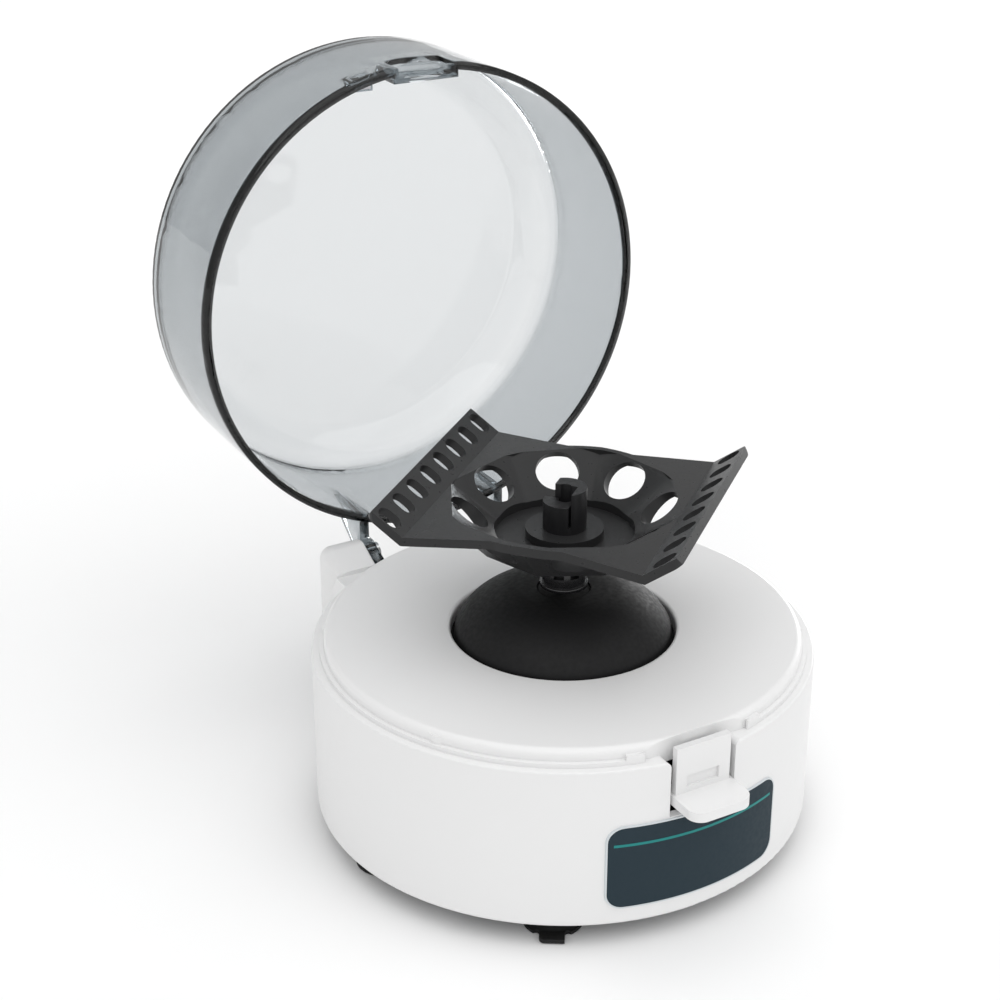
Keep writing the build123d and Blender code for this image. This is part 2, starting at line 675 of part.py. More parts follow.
# Rotor: eight-sided tube bowl between two sloping wings for tube strips
yaw_r = radians(yaw)
u_dir = Vector(cos(yaw_r), sin(yaw_r), 0)
v_dir = Vector(-sin(yaw_r), cos(yaw_r), 0)
rotor_plan = Plane(origin=(0, 0, 0), x_dir=u_dir, z_dir=(0, 0, 1))
rotor_side = Plane(origin=(0, 0, 0), x_dir=v_dir, z_dir=u_dir)
wing_tilt = atan2(wing_out_z - wing_in_z, wing_out - wing_in)
tilt = radians(facet_tilt)
with BuildPart() as rotor:
    dx = rotor_skin * sin(wing_tilt)
    dz = rotor_skin * cos(wing_tilt)
    bend = rotor_skin * tan(wing_tilt / 2)
    with BuildSketch(rotor_side):
        outline(
            (0, roof_z),
            (wing_in, wing_in_z),
            (wing_out, wing_out_z),
            (wing_out + dx, wing_out_z - dz),
            (wing_in + bend, wing_in_z - rotor_skin),
            (0, roof_z - rotor_skin),
        )
        mirror(about=Plane.YZ)
    extrude(amount=wing_half, both=True)
    with BuildSketch(rotor_plan.offset(rotor_low)):
        outline(
            (waist_half, 0),
            (waist_half, waist_v),
            (wing_half, wing_in),
            (wing_half, wing_out + dx),
            (-wing_half, wing_out + dx),
            (-wing_half, wing_in),
            (-waist_half, waist_v),
            (-waist_half, 0),
        )
        mirror(about=Plane.XZ)
        Circle(rim_out)
        fillet(vertices().group_by(SortBy.DISTANCE)[-1], radius=2.0)
    extrude(amount=30, mode=Mode.INTERSECT)
    with BuildSketch(rotor_plan.offset(rotor_low)):
        RegularPolygon(rotor_low_a, 8, major_radius=False)
    with BuildSketch(rotor_plan.offset(wing_in_z - 1)):
        RegularPolygon(rim_out * cos(radians(22.5)), 8, major_radius=False)
    loft()
    bowl_h = roof_z + 1 - bowl_floor_z
    with BuildPart(mode=Mode.PRIVATE) as hollow:
        with BuildSketch(rotor_plan.offset(bowl_floor_z)):
            RegularPolygon(bowl_floor_a, 8, major_radius=False)
        with BuildSketch(rotor_plan.offset(bowl_floor_z + bowl_h)):
            RegularPolygon(bowl_floor_a + bowl_h / tan(tilt), 8, major_radius=False)
        loft()
        with Locations((0, 0, bowl_floor_z - 1)):
            Cylinder(rim_in, bowl_h + 3, align=UP, mode=Mode.INTERSECT)
    add(hollow.part, mode=Mode.SUBTRACT)
    with Locations((0, 0, rotor_low + 1.6)):
        Cylinder(groove_out, 6, align=UP, mode=Mode.SUBTRACT)
        Cylinder(groove_in, hub_disc_z - rotor_low - 1.6, align=UP)
    with Locations((0, 0, rotor_low - 1)):
        Cylinder(plug_r + 0.05, 10, align=UP, mode=Mode.SUBTRACT)
    for turn in range(tube_count):
        angle = radians(yaw + 22.5 + 360 / tube_count * turn)
        out = Vector(cos(angle), sin(angle), 0)
        lean = out * -sin(tilt) + Vector(0, 0, cos(tilt))
        facet_z = bowl_floor_z + (tube_ring - bowl_floor_a) * tan(tilt)
        with BuildSketch(Plane(origin=out * tube_ring + Vector(0, 0, facet_z), z_dir=lean)):
            Circle(tube_hole_r)
        extrude(amount=10, both=True, mode=Mode.SUBTRACT)
    for side in (1, -1):
        wing_at = v_dir * (side * wing_in) + Vector(0, 0, wing_in_z)
        wing_up = v_dir * (-side * sin(wing_tilt)) + Vector(0, 0, cos(wing_tilt))
        with BuildSketch(Plane(origin=wing_at, x_dir=u_dir * side, z_dir=wing_up)):
            with Locations((0, strip_at)):
                with GridLocations(strip_pitch, 1, strip_count, 1):
                    SlotOverall(strip_l, strip_w, rotation=90)
        extrude(amount=2 * rotor_skin, both=True, mode=Mode.SUBTRACT)
put(rotor, "rotor")

# Forked clip that holds the rotor on the hub
with BuildPart() as rotor_clip:
    with BuildSketch(rotor_plan.offset(hub_disc_z)):
        Circle(clip_r)
    extrude(amount=2.0)
    with BuildSketch(rotor_plan.offset(hub_disc_z + 1.5)):
        Circle(clip_r)
        with Locations((0.4, -2.5)):
            Rectangle(2 * clip_r, clip_r + 2.3, align=(Align.MAX, Align.MIN), mode=Mode.INTERSECT)
    extrude(amount=6.0)
    with BuildSketch(rotor_plan.offset(hub_disc_z + 1.5)):
        with Locations((0.9, 2.9)):
            Rectangle(clip_r, 2 * clip_r, align=(Align.MIN, Align.MAX))
        with Locations((0, -3.1)):
            Rectangle(2 * clip_r, clip_r, align=(Align.CENTER, Align.MAX))
        Circle(clip_r, mode=Mode.INTERSECT)
    extrude(amount=9.5)
    with Locations((0, 0, hub_disc_z - 1)):
        Cylinder(shaft_r + 0.1, 20, align=UP, mode=Mode.SUBTRACT)
put(rotor_clip, "rotor_clip")

# Control board with its larger components
board_top = board_z + board_t
with BuildPart() as control_board:
    with Locations((board_x, board_y, board_z)):
        Box(board_w, board_l, board_t, align=UP)
        with GridLocations(2 * board_hole_x, 2 * board_hole_y, 2, 2):
            Cylinder(1.2, board_t, align=UP, mode=Mode.SUBTRACT)
put(control_board, "control_board")

with BuildPart() as capacitor:
    with Locations((board_x - 5, board_y + 9, board_top)):
        Cylinder(5, 14, align=UP)
    fillet(capacitor.edges().filter_by(GeomType.CIRCLE).group_by(Axis.Z)[-1], 0.8)
put(capacitor, "capacitor")

with BuildPart() as relay:
    with Locations((board_x - 4, board_y - 7, board_top)):
        Box(13, 10, 11, align=UP)
    fillet(relay.edges().filter_by(Axis.Z), 0.8)
put(relay, "relay")

with BuildPart() as regulator:
    with Locations((board_x + 7, board_y + 2, board_top)):
        Box(1.6, 10, 15, align=UP)
    with Locations((board_x + 5, board_y + 2, board_top + 1)):
        Box(3, 9, 8.5, align=UP)
put(regulator, "regulator")

# Power inlet with its nut
with BuildPart() as power_socket:
    with BuildSketch(Plane.XZ.offset(-panel_y)):
        with Locations((socket_x, rear_z)):
            Circle(socket_r + 1.4)
    extrude(amount=-1.4)
    with BuildSketch(Plane.XZ.offset(-panel_y)):
        with Locations((socket_x, rear_z)):
            Circle(socket_r)
    extrude(amount=9)
    with Locations((socket_x, panel_y - 9, rear_z)):
        Box(9, 5, 9, align=(Align.CENTER, Align.MAX, Align.CENTER))
    with BuildSketch(Plane.XZ.offset(-panel_y - 1.4)):
        with Locations((socket_x, rear_z)):
            Circle(2.9)
            Circle(1.0, mode=Mode.SUBTRACT)
    extrude(amount=10.4, mode=Mode.SUBTRACT)
put(power_socket, "power_socket")

with BuildPart() as socket_nut:
    with BuildSketch(Plane.XZ.offset(-panel_y + panel_t)):
        with Locations((socket_x, rear_z)):
            RegularPolygon(5.5, 6, major_radius=False)
            Circle(socket_r + 0.05, mode=Mode.SUBTRACT)
    extrude(amount=2)
put(socket_nut, "socket_nut")

# Power switch: body with its bezel, and the rocker tilted to off
rocker_y = panel_y - rocker_out
with BuildPart() as switch_body:
    with Locations((switch_x, panel_y, rear_z)):
        Box(switch_w, switch_deep, switch_h, align=(Align.CENTER, Align.MAX, Align.CENTER))
    with BuildSketch(Plane.XZ.offset(-panel_y)):
        with Locations((switch_x, rear_z)):
            RectangleRounded(switch_w + 2.2, switch_h + 2, 1)
    extrude(amount=-1.0)
    with Locations((switch_x, panel_y + 2, rear_z)):
        Box(switch_w - 2.6, 7, switch_h - 2.2, align=(Align.CENTER, Align.MAX, Align.CENTER),
            mode=Mode.SUBTRACT)
    with BuildSketch(Plane.YZ.offset(switch_x)):
        with Locations((rocker_y, rear_z)):
            Circle(1.2 + run_fit)
    extrude(amount=switch_w / 2 - 0.2, both=True, mode=Mode.SUBTRACT)
    for lift in (5, -5):
        with Locations((switch_x, panel_y - switch_deep, rear_z + lift)):
            Box(4.8, 5, 0.8, align=(Align.CENTER, Align.MAX, Align.CENTER))
put(switch_body, "switch_body")

off = radians(rocker_tilt)
rock = Plane(origin=(switch_x, rocker_y, rear_z), x_dir=(0, cos(off), -sin(off)), z_dir=(1, 0, 0))
with BuildPart() as rocker:
    with BuildSketch(rock):
        outline((-1, -7.6), (2.6, -7.6), (1.3, 0), (2.6, 7.6), (-1, 7.6))
        Circle(2.6)
    extrude(amount=switch_w / 2 - 1.5, both=True)
    with BuildSketch(rock):
        Circle(1.2)
    extrude(amount=switch_w / 2 - 0.4, both=True)
put(rocker, "rocker")

# Motor leads from the end cap to the board
for side, name in ((1, "motor_lead_1"), (-1, "motor_lead_2")):
    with BuildPart() as lead:
        with BuildLine():
            start = (-9, side * 4, can_low - 5.0)
            middle = (-19, side * 4.6, can_low - 2.6)
            finish = (board_x + board_w / 2 - 3, side * 5, board_top + 0.9)
            run = Spline(start, middle, finish)
        with BuildSketch(Plane(origin=start, z_dir=run % 0)):
            Circle(0.6)
        sweep()
    put(lead, name)

# Rubber suction feet with pull tabs
for count, angle in enumerate(foot_angles, 1):
    a = radians(angle)
    with BuildPart() as foot:
        centre = spot(foot_ring, angle)
        outward = Plane(origin=centre, x_dir=(cos(a), sin(a), 0), z_dir=(sin(a), -cos(a), 0))
        with BuildSketch(outward):
            with BuildLine():
                Line((0, 2.6), (foot_r - 1, 0))
                Line((foot_r - 1, 0), (foot_r, 0))
                Line((foot_r, 0), (foot_r, 0.8))
                ThreePointArc((foot_r, 0.8), (5.2, 2.8), (4.6, base_low))
                Polyline(
                    (4.6, base_low),
                    (foot_plug_r, base_low),
                    (foot_plug_r, floor_top),
                    (foot_plug_r + 0.7, floor_top),
                    (foot_plug_r - 0.5, floor_top + 1.4),
                    (0, floor_top + 1.4),
                    (0, 2.6),
                )
            make_face()
        revolve(axis=Axis(centre, (0, 0, 1)))
        way = Vector(cos(a), sin(a), 0) if count == 2 else Vector(-cos(a), -sin(a), 0)
        flat = Plane(origin=(centre[0], centre[1], 0.2), x_dir=way, z_dir=(0, 0, 1))
        with BuildSketch(flat):
            for side in (1, -1):
                with Locations((foot_r - 0.9, side * 4.0)):
                    Circle(0.9)
        extrude(amount=2.4, both=True, mode=Mode.SUBTRACT)
        with BuildSketch(flat):
            with Locations((foot_r - 1.2, 0)):
                Rectangle(3.6, 6.3, align=(Align.MIN, Align.CENTER))
            fillet(vertices().sort_by(Axis(centre, way))[-2:], radius=1.4)
        extrude(amount=1.1)
    put(foot, f"foot_{count}")
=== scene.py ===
import bpy
import bmesh
import json
from math import ceil, cos, hypot, pi, radians, sin, sqrt
from mathutils import Matrix, Vector


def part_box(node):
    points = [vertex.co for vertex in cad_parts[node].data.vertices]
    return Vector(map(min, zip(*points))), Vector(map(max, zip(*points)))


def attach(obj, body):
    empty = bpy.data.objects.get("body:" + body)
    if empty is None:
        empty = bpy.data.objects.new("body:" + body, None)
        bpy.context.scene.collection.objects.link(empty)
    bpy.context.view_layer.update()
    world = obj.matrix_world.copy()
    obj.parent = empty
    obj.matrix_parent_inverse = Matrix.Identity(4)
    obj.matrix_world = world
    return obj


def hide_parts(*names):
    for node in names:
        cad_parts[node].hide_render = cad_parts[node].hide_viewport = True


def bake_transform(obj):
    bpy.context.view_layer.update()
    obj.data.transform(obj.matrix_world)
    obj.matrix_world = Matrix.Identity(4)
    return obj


# The object is a bench mini centrifuge with its lid open.
# Sizes are in metres: a size in millimetres is written with mm.

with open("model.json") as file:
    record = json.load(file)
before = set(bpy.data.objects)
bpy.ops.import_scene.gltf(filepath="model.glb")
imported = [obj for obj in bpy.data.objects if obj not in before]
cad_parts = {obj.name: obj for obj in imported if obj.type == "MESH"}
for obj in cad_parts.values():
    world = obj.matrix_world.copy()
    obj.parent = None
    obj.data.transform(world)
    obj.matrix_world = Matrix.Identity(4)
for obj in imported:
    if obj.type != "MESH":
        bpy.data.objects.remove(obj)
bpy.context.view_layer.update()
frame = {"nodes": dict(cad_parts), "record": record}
scene = bpy.context.scene
mm = 0.001


# Camera at the photograph's viewing angle
camera_at = Vector((-0.2366, -0.3854, 0.2998))
camera_back = Vector((-0.4747, -0.7732, 0.4206)).normalized()
camera_roll = radians(0.875)
sensor_width = 36
focal_length = 71.35
frame_shift = (-0.0651, -0.0048)


def place_camera():
    level = Vector((0, 0, 1)).cross(camera_back).normalized()
    upright = camera_back.cross(level)
    right = level * cos(camera_roll) + upright * sin(camera_roll)
    up = upright * cos(camera_roll) - level * sin(camera_roll)
    data = bpy.data.cameras.new("camera")
    data.sensor_width = sensor_width
    data.lens = focal_length
    data.shift_x, data.shift_y = frame_shift
    data.clip_start = 0.01
    data.clip_end = 20
    cam = bpy.data.objects.new("camera", data)
    scene.collection.objects.link(cam)
    turn = Matrix((right, up, camera_back)).transposed().to_4x4()
    turn.translation = camera_at
    cam.matrix_world = turn
    scene.camera = cam


# Light: a pale surround, three broad far lamps and one soft panel
def sun_lamp(name, toward, spread, strength):
    data = bpy.data.lights.new(name, "SUN")
    data.angle = radians(spread)
    data.energy = strength
    lamp = bpy.data.objects.new(name, data)
    scene.collection.objects.link(lamp)
    lamp.rotation_euler = Vector(toward).to_track_quat("-Z", "Y").to_euler()


def panel_lamp(name, where, aim, width, height, power):
    data = bpy.data.lights.new(name, "AREA")
    data.shape = "RECTANGLE"
    data.size = width
    data.size_y = height
    data.energy = power
    lamp = bpy.data.objects.new(name, data)
    scene.collection.objects.link(lamp)
    lamp.location = where
    lamp.rotation_euler = (Vector(aim) - Vector(where)).to_track_quat("-Z", "Y").to_euler()


def seen_or_through(nt):
    """1 for what the camera sees, straight or through clear plastic, and 0 for light on other surfaces."""
    path = nt.nodes.new("ShaderNodeLightPath")
    either = nt.nodes.new("ShaderNodeMath")
    either.operation = "MAXIMUM"
    nt.links.new(path.outputs["Is Camera Ray"], either.inputs[0])
    nt.links.new(path.outputs["Is Transmission Ray"], either.inputs[1])
    return either.outputs[0]


def pale_surround(strength):
    """White where the camera sees it, and softer as a light."""
    world = bpy.data.worlds.new("studio")
    scene.world = world
    world.use_nodes = True
    nt = world.node_tree
    nt.nodes.clear()
    out = nt.nodes.new("ShaderNodeOutputWorld")
    mix = nt.nodes.new("ShaderNodeMixShader")
    for place, glow in ((1, strength), (2, 1.0)):
        white = nt.nodes.new("ShaderNodeBackground")
        white.inputs["Color"].default_value = (1, 1, 1, 1)
        white.inputs["Strength"].default_value = glow
        nt.links.new(white.outputs[0], mix.inputs[place])
    nt.links.new(seen_or_through(nt), mix.inputs["Fac"])
    nt.links.new(mix.outputs[0], out.inputs["Surface"])


def pale_floor(half, white):
    """White bench top that takes the object's shadow, just under the feet."""
    mesh = bpy.data.meshes.new("floor")
    corners = [(-half, -half, 0), (half, -half, 0), (half, half, 0), (-half, half, 0)]
    mesh.from_pydata(corners, [], [(0, 1, 2, 3)])
    floor = bpy.data.objects.new("floor", mesh)
    scene.collection.objects.link(floor)
    floor.location.z = -0.2 * mm
    mat = bpy.data.materials.new("white_bench")
    mat.use_nodes = True
    nt = mat.node_tree
    nt.nodes.clear()
    out = nt.nodes.new("ShaderNodeOutputMaterial")
    paint = nt.nodes.new("ShaderNodeBsdfDiffuse")
    paint.inputs["Color"].default_value = (white, white, white, 1)
    nt.links.new(paint.outputs[0], out.inputs["Surface"])
    mesh.materials.append(mat)


place_camera()
scene.view_settings.view_transform = "Standard"
pale_surround(0.61)
pale_floor(6.0, 0.95)
sun_lamp("overhead_light", toward=(-0.02, 0.3, -1.0), spread=90, strength=1.3)
sun_lamp("front_left_light", toward=(0.8, 0.75, -0.62), spread=60, strength=0.25)
sun_lamp("front_right_light", toward=(-0.7, 0.7, -0.5), spread=50, strength=0.15)
panel_lamp("back_right_panel", where=(1.8, 1.2, 0.2), aim=(0, 0, 0.09), width=1.0, height=0.44, power=13.0)


# Shader helpers
def node_material(name):
    mat = bpy.data.materials.new(name)
    mat.use_nodes = True
    nt = mat.node_tree
    nt.nodes.clear()
    out = nt.nodes.new("ShaderNodeOutputMaterial")
    bsdf = nt.nodes.new("ShaderNodeBsdfPrincipled")
    nt.links.new(bsdf.outputs[0], out.inputs["Surface"])
    coord = nt.nodes.new("ShaderNodeTexCoord")
    return mat, nt, bsdf, coord.outputs["Object"]


def noise(nt, where, scale, detail=3.0, rough=0.5, squash=None):
    source = where
    if squash:
        stretch = nt.nodes.new("ShaderNodeMapping")
        stretch.inputs["Scale"].default_value = squash
        nt.links.new(where, stretch.inputs["Vector"])
        source = stretch.outputs[0]
    cloud = nt.nodes.new("ShaderNodeTexNoise")
    cloud.inputs["Scale"].default_value = scale
    cloud.inputs["Detail"].default_value = detail
    cloud.inputs["Roughness"].default_value = rough
    nt.links.new(source, cloud.inputs["Vector"])
    return cloud.outputs["Fac"]


def ramp(nt, fac, low, high, start=0.0, end=1.0):
    shift = nt.nodes.new("ShaderNodeMapRange")
    shift.inputs["From Min"].default_value = start
    shift.inputs["From Max"].default_value = end
    shift.inputs["To Min"].default_value = low
    shift.inputs["To Max"].default_value = high
    nt.links.new(fac, shift.inputs["Value"])
    return shift.outputs[0]


def blend_colour(nt, fac, first, second):
    mix = nt.nodes.new("ShaderNodeMix")
    mix.data_type = "RGBA"
    share, start, end = mix.inputs[0], mix.inputs[6], mix.inputs[7]
    start.default_value = (*first, 1)
    end.default_value = (*second, 1)
    nt.links.new(fac, share)
    return mix.outputs[2]


def bump(nt, bsdf, height, strength, distance):
    node = nt.nodes.new("ShaderNodeBump")
    node.inputs["Strength"].default_value = strength
    node.inputs["Distance"].default_value = distance
    nt.links.new(height, node.inputs["Height"])
    nt.links.new(node.outputs[0], bsdf.inputs["Normal"])


# Finishes
def moulded_plastic(name, colour, rough, shine=0.5, grain=900.0, depth=0.004 * mm, wear=0.04):
    """Moulded plastic: faint mottling, uneven gloss and a fine skin texture."""
    mat, nt, bsdf, where = node_material(name)
    broad = noise(nt, where, 22.0)
    fine = noise(nt, where, grain, 4.0)
    light = tuple(min(1.0, c * (1 + wear)) for c in colour)
    dark = tuple(c * (1 - wear) for c in colour)
    nt.links.new(blend_colour(nt, broad, dark, light), bsdf.inputs["Base Color"])
    nt.links.new(ramp(nt, fine, rough * 0.85, rough * 1.15, 0.3, 0.7), bsdf.inputs["Roughness"])
    bump(nt, bsdf, fine, 0.4, depth)
    bsdf.inputs["Specular IOR Level"].default_value = shine
    return mat


def brushed_metal(name, colour, rough):
    """Turned or brushed metal with fine lines along one way."""
    mat, nt, bsdf, where = node_material(name)
    lines = noise(nt, where, 180.0, 4.0, 0.6, squash=(1, 1, 30))
    dark = tuple(c * 0.85 for c in colour)
    nt.links.new(blend_colour(nt, lines, dark, colour), bsdf.inputs["Base Color"])
    nt.links.new(ramp(nt, lines, rough * 0.7, rough * 1.3), bsdf.inputs["Roughness"])
    bsdf.inputs["Metallic"].default_value = 1.0
    bump(nt, bsdf, lines, 0.3, 0.01 * mm)
    return mat


def smoky_clear(name, drum_shade_tint, end_tint, drum_from, drum_to):
    """Clear plastic with a tint that deepens with thickness; its colour is darker in the drum wall than in
    the end, and that darker drum wall is painted shade.
    """
    mat, nt, bsdf, where = node_material(name)
    split = nt.nodes.new("ShaderNodeSeparateXYZ")
    nt.links.new(where, split.inputs[0])
    # Painted shade: the colour runs from the darker drum wall tint to the pale end tint along Y.
    along = ramp(nt, split.outputs["Y"], 0.0, 1.0, drum_from, drum_to)
    nt.links.new(blend_colour(nt, along, drum_shade_tint, end_tint), bsdf.inputs["Base Color"])
    bsdf.inputs["Transmission Weight"].default_value = 1.0
    bsdf.inputs["IOR"].default_value = 1.45
    haze = noise(nt, where, 30.0)
    nt.links.new(ramp(nt, haze, 0.015, 0.05), bsdf.inputs["Roughness"])
    tint = nt.nodes.new("ShaderNodeVolumeAbsorption")
    tint.inputs["Color"].default_value = (0.44, 0.48, 0.50, 1)
    tint.inputs["Density"].default_value = 310
    out = bsdf.outputs[0].links[0].to_node
    nt.links.new(tint.outputs[0], out.inputs["Volume"])
    return mat


paint_white = (0.80, 0.80, 0.80)
skin = dict(grain=500.0, depth=0.0012 * mm, wear=0.01)
finishes = {
    "white_plastic": moulded_plastic("white_housing_gloss", paint_white, 0.34, **skin),
    "white_latch": moulded_plastic("white_latch_gloss", paint_white, 0.34, **skin),
    "grey_plastic": moulded_plastic("grey_floor_plastic", (0.10, 0.105, 0.11), 0.5),
    "label": moulded_plastic("slate_label_film", (0.022, 0.037, 0.048), 0.5, shine=0.12),
    "steel": brushed_metal("bright_steel", (0.62, 0.63, 0.64), 0.25),
    "spring_steel": brushed_metal("spring_steel", (0.45, 0.45, 0.47), 0.3),
    "smoky_lid": smoky_clear(
        "smoky_lid_plastic",
        # The drum wall's darker colour is painted shade.
        drum_shade_tint=(0.70, 0.72, 0.735),
        end_tint=(1.0, 1.0, 1.0),
        drum_from=108 * mm,
        drum_to=114 * mm,
    ),
    "magnet": brushed_metal("plated_magnet", (0.5, 0.5, 0.52), 0.18),
    "board": moulded_plastic("green_circuit_board", (0.01, 0.09, 0.03), 0.35),
    "black_gloss": moulded_plastic("black_cover_plastic", (0.0115, 0.0115, 0.012), 0.6, shine=0.2),
    "black_rubber": moulded_plastic("black_rubber", (0.012, 0.012, 0.012), 0.7, shine=0.3, depth=0.02 * mm),
    "black_plastic": moulded_plastic("black_matt_plastic", (0.010, 0.010, 0.011), 0.45, shine=0.4),
    "rotor_grey": moulded_plastic(
        "rotor_satin_plastic", (0.022, 0.0222, 0.0228), 0.32, shine=0.25, depth=0.002 * mm
    ),
    "aluminium": brushed_metal("plain_aluminium", (0.7, 0.71, 0.73), 0.35),
    "relay_blue": moulded_plastic("relay_blue_plastic", (0.02, 0.06, 0.3), 0.35),
    "red_wire": moulded_plastic("red_lead_sheath", (0.4, 0.01, 0.01), 0.4),
    "black_wire": moulded_plastic("black_lead_sheath", (0.012, 0.012, 0.012), 0.4),
}
hub_gloss = moulded_plastic("hub_gloss_plastic", (0.012, 0.012, 0.013), 0.14, shine=0.9)
teal_ink = moulded_plastic("teal_stripe_ink", (0.010, 0.215, 0.205), 0.45, shine=0.3)
border_ink = moulded_plastic("pale_border_ink", (0.62, 0.66, 0.68), 0.45, shine=0.3)

slot_of = {s["node"]: s["material_slot"] for s in frame["record"]["subparts"]}
body_of = {n: b for b, nodes in frame["record"]["behaviour"]["bodies"].items() for n in nodes}
for name, node in frame["nodes"].items():
    node.data.materials.clear()
    node.data.materials.append(finishes[slot_of[name]])


# Mesh helpers
def finished(name, mesh, body, slot, material=None, stands_for=(), shaded=False):
    """Links a finished mesh, shades it unless it is shaded, and lets it ride on its body."""
    obj = bpy.data.objects.new(name, mesh)
    scene.collection.objects.link(obj)
    mesh.materials.clear()
    mesh.materials.append(material or finishes[slot])
    if not shaded:
        mesh.shade_smooth()
        mesh.set_sharp_from_angle(angle=radians(35))
    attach(obj, body)
    if stands_for:
        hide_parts(*stands_for)


def lofted(name, sections, ring=False):
    """Closed mesh through a row of outlines with equally many corners. A ring joins its last to its first."""
    bm = bmesh.new()
    rows = [[bm.verts.new(corner) for corner in section] for section in sections]
    following = rows[1:] + rows[:1] if ring else rows[1:]
    for first, second in zip(rows, following):
        for k in range(len(first)):
            n = (k + 1) % len(first)
            bm.faces.new((first[k], second[k], second[n], first[n]))
    if not ring:
        bm.faces.new(rows[0])
        bm.faces.new(rows[-1])
    bmesh.ops.recalc_face_normals(bm, faces=bm.faces)
    mesh = bpy.data.meshes.new(name)
    bm.to_mesh(mesh)
    bm.free()
    return mesh


def softened(node_name, width, segments=2, material=None, flat_joined=0.4, share=None):
    """Stands for a CAD node with the same shape, its sharp edges rounded as in a mould.
    flat_joined is the angle in degrees up to which neighbouring faces count as one.
    share gives the part of the width that an edge takes, by the edge's middle point."""
    weld = 0.002 * mm
    crease = radians(28)
    bm = bmesh.new()
    bm.from_mesh(frame["nodes"][node_name].data)
    bmesh.ops.remove_doubles(bm, verts=bm.verts, dist=weld)
    bmesh.ops.dissolve_degenerate(bm, edges=bm.edges, dist=weld / 2)
    if flat_joined:
        near = [v for v in bm.verts if share is None or share(v.co)]
        inside = set(near)
        rims = [e for e in bm.edges if inside.intersection(e.verts)]
        bmesh.ops.dissolve_limit(bm, angle_limit=radians(flat_joined), verts=near, edges=rims)
    mould = bm.edges.layers.float.new("bevel_weight_edge")
    for e in bm.edges:
        middle = (e.verts[0].co + e.verts[1].co) / 2
        sharp = len(e.link_faces) == 2 and e.calc_face_angle(0) > crease
        wanted = 1.0 if share is None else share(middle)
        e[mould] = wanted if sharp else 0.0
        e.smooth = not (sharp and e[mould] == 0.0)
    for f in bm.faces:
        f.smooth = True
    mesh = bpy.data.meshes.new(node_name + "_moulded")
    bm.to_mesh(mesh)
    bm.free()
    obj = bpy.data.objects.new(node_name + "_shape", mesh)
    scene.collection.objects.link(obj)
    if width:
        bevel = obj.modifiers.new("soft_edges", "BEVEL")
        bevel.width = width
        bevel.segments = segments
        bevel.limit_method = "WEIGHT"
        bevel.use_clamp_overlap = share is None
    level = obj.modifiers.new("level_faces", "WEIGHTED_NORMAL")
    level.keep_sharp = True
    depsgraph = bpy.context.evaluated_depsgraph_get()
    done = bpy.data.meshes.new_from_object(obj.evaluated_get(depsgraph), depsgraph=depsgraph)
    bpy.data.objects.remove(obj)
    body = body_of[node_name]
    slot = slot_of[node_name]
    finished(node_name + "_moulded", done, body, slot, material, (node_name,), shaded=True)


def turned_mesh(name, profile, steps=128):
    """Closed ring about the Z axis from a closed outline of (radius, height)."""
    turns = [2 * pi * i / steps for i in range(steps)]
    sections = [[(r * cos(a), r * sin(a), z) for a in turns] for r, z in profile]
    return lofted(name, sections, ring=True)


def eased(points, steps=10):
    """Smooth line that passes through a few given points."""
    line = []
    ends = [points[0]] + list(points) + [points[-1]]
    for before, start, end, after in zip(ends, ends[1:], ends[2:], ends[3:]):
        for k in range(steps):
            t = k / steps
            place = []
            for a, b, c, d in zip(before, start, end, after):
                slope = c - a
                bend = 2 * a - 5 * b + 4 * c - d
                twist = 3 * b - a - 3 * c + d
                place.append(0.5 * (2 * b + slope * t + bend * t * t + twist * t ** 3))
            line.append(tuple(place))
    return line + [tuple(points[-1])]


# Motor cover: one smooth dome with a thin rim
def motor_dome():
    low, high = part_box("motor_cover")
    flange = high.x
    foot = low.z
    top = high.z
    lip = foot + 2 * mm
    bore = 7.0 * mm
    wall = 1.6 * mm
    side = 28.2 * mm
    outside = eased([
        (side, 52.0 * mm),
        (27.6 * mm, 54.4 * mm),
        (24.6 * mm, 58.4 * mm),
        (20.2 * mm, 61.6 * mm),
        (15.6 * mm, 63.5 * mm),
        (11.5 * mm, top),
    ])
    inside = [(r - 0.8 * wall, z - wall) for r, z in reversed(outside)]
    outline = [(flange, foot), (flange, lip), (side, lip)] + outside
    outline += [(bore, top), (bore, top - wall)] + inside + [(inside[-1][0], foot)]
    dome = turned_mesh("motor_dome", outline)
    finished("motor_dome", dome, "housing", "black_gloss", stands_for=("motor_cover",))


# Label border and stripe, thin raised ink on the curved label
ink_proud = 0.05 * mm


def on_wall(face, x, z, lift):
    """Point on the label's curved face, or lifted off it."""
    r = face + lift
    return Vector((x, -sqrt(r * r - x * x), z))


def rounded_outline(half, tall, middle, radius, steps=8):
    """Corner points of a rounded rectangle in X and Z, half wide and tall each way from its middle."""
    loop = []
    for side, level, start in ((1, 1, 0), (-1, 1, 90), (-1, -1, 180), (1, -1, 270)):
        for k in range(steps + 1):
            a = radians(start + 90 * k / steps)
            x = side * (half - radius) + radius * cos(a)
            z = level * (tall - radius) + radius * sin(a)
            loop.append((x, middle + z))
    return loop


